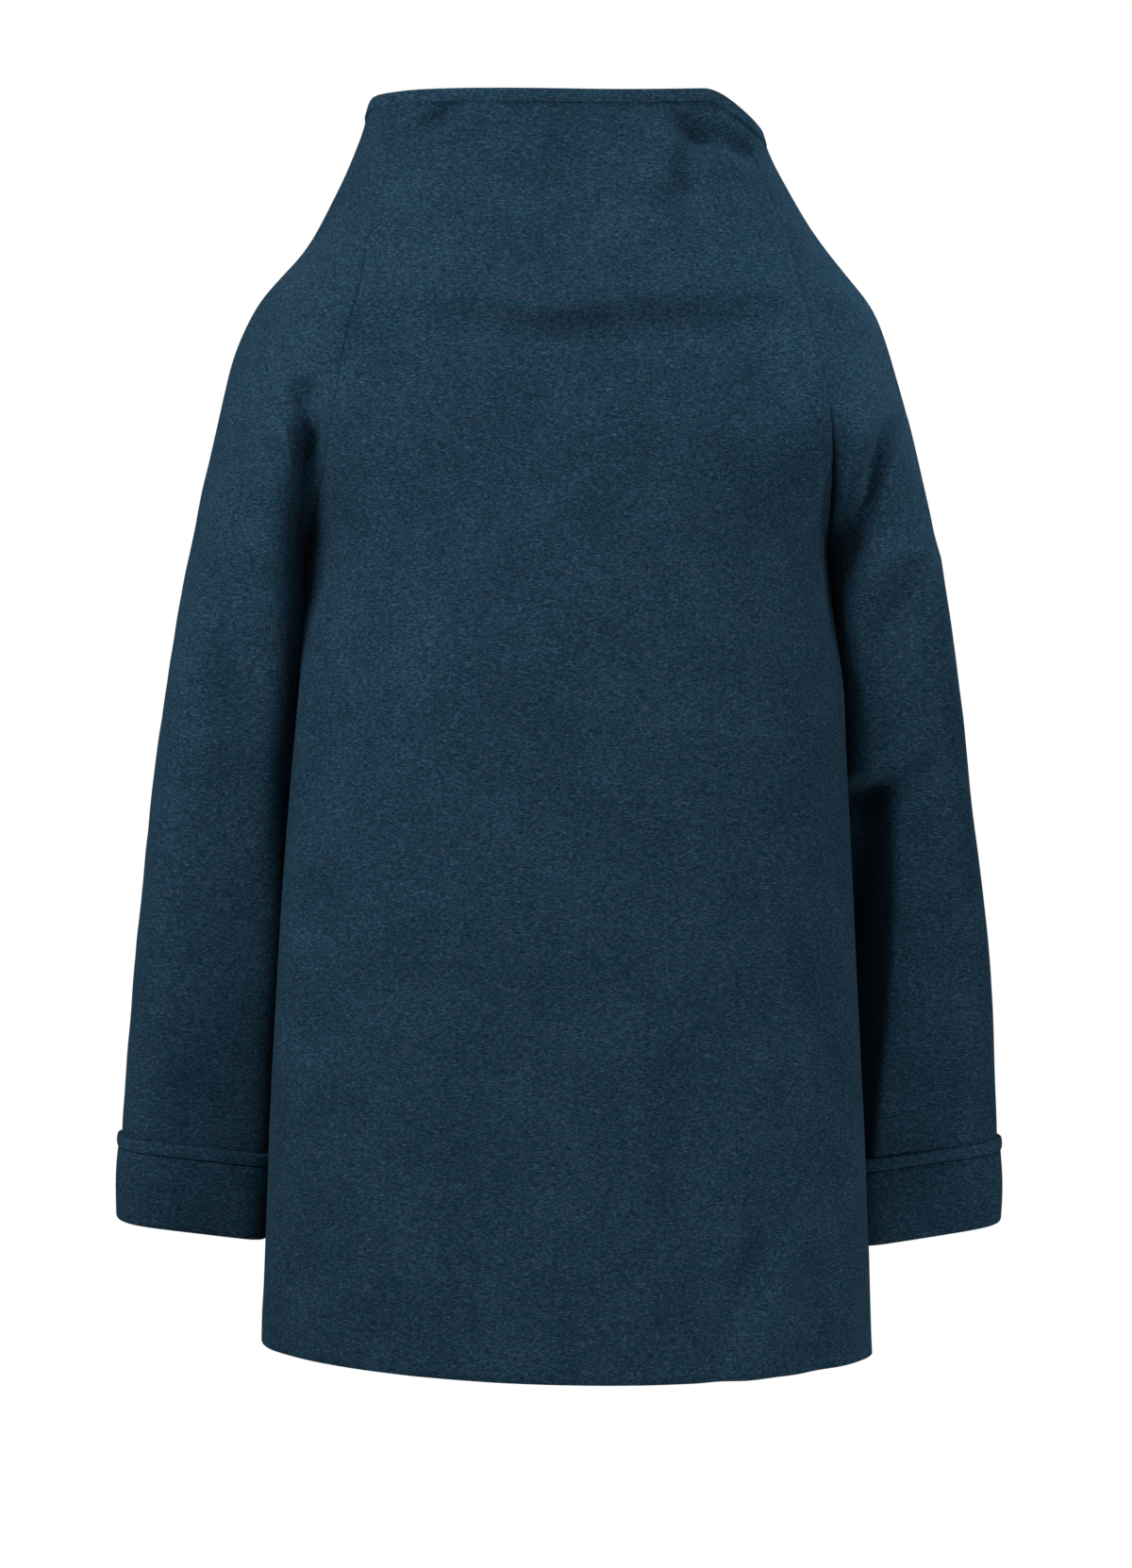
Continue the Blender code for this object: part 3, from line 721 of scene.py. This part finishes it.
backCut = {
    "step": 0.0040,
    "spans": 54,             # from the centre to a side
    "flat": (0.49, 0.83),
    "area": 0.331,
    "creases": {behind: [
        (0.130, -0.028, -0.170, -0.026, -0.010, 0.0105, 0.0042, 0.0046),
        (0.040, -0.037, -0.062, -0.036, -0.001, 0.0060, 0.0036, 0.0012),
        (-0.150, -0.180, -0.168, -0.640, 0.003, 0.0170, 0.0046, 0.0014),
        (0.150, -0.200, 0.168, -0.560, -0.003, 0.0170, 0.0030, 0.0008),
        (0.080, -0.704, 0.118, -0.596, -0.004, 0.0110, 0.0070, 0.0050),
        (0.062, -0.500, 0.056, -0.690, -0.003, 0.0200, 0.0048, 0.0018),
        (0.142, -0.625, 0.150, -0.705, 0.000, 0.0120, 0.0034, 0.0012),
        (-0.046, 0.070, -0.004, 0.050, 0.004, 0.0110, 0.0048, 0.0026),
        (0.076, 0.092, 0.064, 0.044, 0.002, 0.0085, 0.0060, 0.0030),
        (0.060, 0.098, 0.120, 0.080, 0.000, 0.0075, 0.0095, 0.0024),
        (-0.106, 0.092, -0.074, 0.107, 0.000, 0.0060, 0.0075, 0.0020),
        (-0.070, -0.300, 0.030, -0.560, 0.012, 0.0300, 0.0014, 0.0006),
    ]},
}


def backRow(z, spans):
    places = np.linspace(0.0, 1.0, spans + 1)
    return np.vstack((torsoRow(z, behind, left, places[::-1]), torsoRow(z, behind, right, places[1:])))


def makeBack(cut):
    heights = spread(coatForm["hem"], panelTop(), cut["step"])
    rows = [backRow(z, cut["spans"]) for z in heights]
    points = hang(np.array(rows), coatForm["hemSideRise"])
    points = lay(points, 1, 3, cut["creases"], [(0, 0), (-1, 0)])
    piece = shell("back_cloth", points, 1, wool, thin=(0, -1))
    dress("back")
    return piece


back = makeBack(backCut)
print("back made")

# Fronts, the right one over the left

frontCut = {
    "step": 0.0042,
    "spans": 50,
    "lapSpans": 20,
    "lapDepth": 0.0054,
    "lapRamp": 0.028,
    "lapFlat": 0.15,
    "lapLean": 0.35,
    "flat": (0.41, 0.79),
    "area": 0.259,
    "creases": {
        right: {before: [
            (0.120, -0.020, 0.020, -0.060, 0.004, 0.0130, 0.0026, 0.0014),
            (0.095, -0.180, 0.060, -0.420, 0.006, 0.0190, 0.0026, 0.0010),
            (0.020, -0.250, 0.050, -0.640, -0.005, 0.0240, 0.0022, 0.0010),
            (0.110, -0.420, 0.130, -0.680, 0.004, 0.0180, 0.0030, 0.0012),
            (-0.030, -0.460, -0.040, -0.690, 0.003, 0.0170, 0.0022, 0.0008),
        ]},
        left: {before: [
            (-0.120, -0.022, -0.085, -0.055, 0.003, 0.0120, 0.0024, 0.0012),
            (-0.115, -0.200, -0.125, -0.460, 0.005, 0.0160, 0.0026, 0.0010),
            (-0.120, -0.480, -0.110, -0.680, -0.004, 0.0150, 0.0026, 0.0010),
        ]},
    },
}


def frontRow(z, side, spans, lapSpans):
    near = torsoRow(z, before, side, np.linspace(1.0, 0.0, spans + 1))
    fine = np.linspace(0.0, 1.0, 101)
    reach = lap("reach", z)
    edge = np.interp(reach, bezier(torsoArc(z, before, -side), fine)[:, 0], fine)
    far = torsoRow(z, before, -side, np.linspace(0.0, edge, lapSpans + 1)[1:])
    row = np.vstack((near, far))
    if side == left:                         # the under front sinks inside the over front's edge
        ramp = frontCut["lapRamp"]
        sunk = smooth(row[:, 0], -reach - ramp, -reach - ramp * frontCut["lapFlat"])
        inward = np.column_stack((-row[:, 0] * frontCut["lapLean"], -row[:, 1], np.zeros(len(row))))
        row += inward / np.linalg.norm(inward, axis=1)[:, None] * (frontCut["lapDepth"] * sunk)[:, None]
    return row


def makeFront(side, word, cut):
    heights = spread(coatForm["hem"], panelTop(), cut["step"])
    rows = [frontRow(z, side, cut["spans"], cut["lapSpans"]) for z in heights]
    points = hang(np.array(rows), coatForm["hemSideRise"])
    points = lay(points, side, 11, cut["creases"][side], [(0, 0)])
    piece = shell("front_%s_cloth" % word, points, side, wool, thin=(0,))
    dress("front_" + word)
    return piece


fronts = [makeFront(left, "left", frontCut), makeFront(right, "right", frontCut)]
print("fronts made")

# Sleeves

sleeveCut = {
    "step": 0.0040,
    "spans": 38,             # from a seam to the outermost line
    "lip": 0.0033,           # the sleeve ends above the cuff's fold
    "flat": (0.42, 0.79),
    "area": 0.240,
    "creases": {
        right: {behind: [
            (0.060, 0.098, 0.120, 0.080, 0.000, 0.0075, 0.0095, 0.0024),
            (0.2005, -0.088, 0.1660, -0.200, -0.0015, 0.0075, 0.0140, 0.0050),
            (0.240, -0.160, 0.178, -0.284, 0.006, 0.0140, 0.0085, 0.0036),
            (0.236, -0.312, 0.182, -0.340, 0.002, 0.0085, 0.0080, 0.0070),
            (0.189, -0.322, 0.179, -0.590, -0.003, 0.0160, 0.0560, 0.0000, 6),
            (0.262, -0.430, 0.232, -0.540, 0.005, 0.0150, 0.0024, 0.0012),
        ], before: [
            (0.214, -0.110, 0.190, -0.210, 0.006, 0.0110, 0.0060, 0.0030),
            (0.250, -0.260, 0.200, -0.330, 0.006, 0.0120, 0.0046, 0.0026),
            (0.258, -0.440, 0.226, -0.520, 0.004, 0.0140, 0.0026, 0.0012),
        ]},
        left: {behind: [
            (-0.160, -0.066, -0.205, -0.054, 0.002, 0.0080, 0.0000, 0.0030),
            (-0.176, -0.071, -0.165, -0.150, -0.001, 0.0100, 0.0195, 0.0000, 2),
            (-0.169, -0.100, -0.172, -0.350, -0.003, 0.0130, 0.0085, 0.0010),
            (-0.236, -0.170, -0.196, -0.290, 0.006, 0.0180, 0.0026, 0.0012),
            (-0.179, -0.220, -0.188, -0.400, 0.000, 0.0100, 0.0040, 0.0000),
        ], before: [
            (-0.206, -0.110, -0.184, -0.200, 0.006, 0.0110, 0.0056, 0.0028),
            (-0.244, -0.250, -0.200, -0.320, 0.006, 0.0130, 0.0042, 0.0022),
            (-0.254, -0.450, -0.224, -0.530, 0.004, 0.0150, 0.0024, 0.0012),
        ]},
    },
}


def makeSleeve(side, word, cut):
    form = coatForm
    lower = spread(form["cuffEnd"] + cut["lip"], form["underarm"], cut["step"])
    upper = spread(form["underarm"], panelTop(), cut["step"])[1:]
    points = sleeveRows(lower + upper, side, cut["spans"])
    closed = len(lower)
    points = lay(points, side, 21 + side, cut["creases"][side], [(0, closed), (-1, closed)], closed)
    points[:closed, -1] = points[:closed, 0]
    piece = shell("sleeve_%s_cloth" % word, points, side, wool, closed, thin=(0, -1))
    dress("sleeve_" + word)
    return piece


sleeves = [makeSleeve(left, "left", sleeveCut), makeSleeve(right, "right", sleeveCut)]
print("sleeves made")

# Turned-back cuffs with their edge strips

cuffCut = {
    "tall": 0.057,
    "lip": 0.003,
    "lipTall": 0.006,        # the turned edge inside the sleeve's end
    "step": 0.003,
    "faceStep": 0.004,
    "underStep": 0.006,
    "foldSpans": 8,
    "spans": 46,
    "puff": 0.0010,          # the turned cloth stands off the sleeve in the middle
    "puffFrom": 0.001,       # outer points of the fold only
    "puffUneven": 0.35,
    "puffSize": 0.11,
    "stripGroove": 0.0012,   # the cloth is drawn in below the strip
    "grooveTall": 0.0008,
    "stripProud": 0.0011,
    "stripSink": 0.0006,
    "stripTurn": 0.25,
    "stripRound": 0.6,
    "flat": (0.34, 0.06),
}


def makeBand(name, rings, material):
    count = len(rings[0])
    faces = []
    for r in range(len(rings)):
        s = (r + 1) % len(rings)
        for c in range(count):
            d = (c + 1) % count
            faces.append([r * count + c, r * count + d, s * count + d, s * count + c])
    return makeMesh(name, np.concatenate(rings), faces, material)


def makeCuff(side, word, cut):
    form = coatForm
    wall, seam, lip = form["wall"], form["seam"], cut["lip"]
    face = seam + wall
    stripLow = cut["tall"] - form["strip"]
    rise = spread(0.0, cut["tall"], cut["step"])
    points = sleeveRows([form["cuffEnd"] + h for h in rise], side, cut["spans"])
    points[:, -1] = points[:, 0]
    normals = gridNormals(points, side, len(rise))

    def ring(height, out):
        at = np.interp(height, rise, np.arange(len(rise)))
        low = min(int(at), len(rise) - 2)
        share = at - low
        place = points[low] * (1.0 - share) + points[low + 1] * share
        normal = normals[low] * (1.0 - share) + normals[low + 1] * share
        uneven = 1.0 + cut["puffUneven"] * wander(place, cut["puffSize"], 31 + side)
        outside = out > cut["puffFrom"]
        lift = cut["puff"] * math.sin(math.pi * min(height / stripLow, 1.0)) if outside else 0.0
        return (place + normal * (out + lift * uneven[:, None]))[:-1]

    radius = 0.5 * (face + wall)             # of the fold at the sleeve's end
    profile = [(lip + cut["lipTall"], -wall), (lip, -wall)]
    profile += [(radius * (1.0 - math.sin(a)), 0.5 * (face - wall) + radius * math.cos(a))
                for a in np.linspace(math.pi, 0.0, cut["foldSpans"] + 1)]
    profile += [(h, face) for h in spread(lip + cut["step"], stripLow - cut["grooveTall"], cut["faceStep"])]
    profile += [(stripLow - seam, face - cut["stripGroove"]), (stripLow - seam, seam)]
    profile += [(h, seam) for h in spread(lip, stripLow - cut["step"], cut["underStep"])[::-1]]
    cuff = makeBand("cuff_%s_cloth" % word, [ring(h, out) for h, out in profile], wool)
    dress("cuff_" + word)
    middle = form["strip"] / 2.0
    sunk = face - cut["stripSink"]
    strip = [(stripLow, seam), (stripLow, sunk)]
    for a in np.linspace(cut["stripTurn"], math.pi - cut["stripTurn"], cut["foldSpans"] + 1):
        raised = cut["stripProud"] * math.sin(a) ** cut["stripRound"]
        strip.append((stripLow + middle - middle * math.cos(a), face + raised))
    strip += [(cut["tall"], sunk), (cut["tall"], seam)]
    # the cuff's strip uses the wool painted paler, as painted light
    edge = makeBand("cuff_edge_%s_cloth" % word, [ring(h, out) for h, out in strip], stripWoolPaintedLit)
    dress("cuff_edge_" + word)
    return cuff, edge


cuffs = [makeCuff(left, "left", cuffCut), makeCuff(right, "right", cuffCut)]
print("cuffs made")

# Edge strip round the collar rim

rimStrip = {
    "proud": 0.0010,
    "lap": 0.0012,           # the strip takes in the panels' upper edges
    "below": 0.012,          # its lean is read from the cloth this far down
    "backSpans": 54,
    "armSpans": 26,
    "frontSpans": 40,
    "lapSpans": 14,
    "sides": 24,             # of its flattened round section
    "upRound": 0.35,
    "outRound": 0.55,
}


def rimPath(heights, cut):   # from one front's free edge round the neck to the other's
    arm, front = cut["armSpans"], (cut["frontSpans"], cut["lapSpans"])
    rows = []
    for z in heights:
        rows.append(np.vstack((frontRow(z, right, *front)[::-1][:-1], sleeveRow(z, right, arm)[::-1][:-1],
                               backRow(z, cut["backSpans"])[::-1][1:-1], sleeveRow(z, left, arm),
                               frontRow(z, left, *front)[1:])))
    return hang(np.array(rows))


def makeRimStrip(cut):
    form = coatForm
    low = form["rim"] - form["strip"]
    base = rimPath([low - cut["below"], low - cut["lap"], form["rim"]], cut)
    normal = gridNormals(base[:2], -1)[1]
    foot, top = base[1], base[2]
    wall = form["wall"]
    rings = []
    for a in np.linspace(0.0, 2.0 * math.pi, cut["sides"] + 1)[:-1]:
        up = 0.5 - 0.5 * math.copysign(abs(math.cos(a)) ** cut["upRound"], math.cos(a))
        out = math.copysign(abs(math.sin(a)) ** cut["outRound"], math.sin(a))
        rings.append(foot * (1.0 - up) + top * up
                     + normal * (-wall / 2.0 + out * (wall / 2.0 + cut["proud"])))
    count = len(foot)
    faces = []
    for r in range(len(rings)):
        s = (r + 1) % len(rings)
        for c in range(count - 1):
            faces.append([r * count + c, s * count + c, s * count + c + 1, r * count + c + 1])
    faces.append([r * count for r in range(len(rings))])
    faces.append([r * count + count - 1 for r in range(len(rings))][::-1])
    # the collar strip uses the wool painted paler, as painted light
    piece = makeMesh("collar_edge_cloth", np.concatenate(rings), faces, stripWoolPaintedLit)
    dress("collar_edge")
    return piece


collarEdge = makeRimStrip(rimStrip)
print("collar strip made")

# Loop over the cuffs; it builds each sleeve's name and keeps nothing

for (cuff, edge), word in zip(cuffs, ("left", "right")):
    "sleeve_" + word
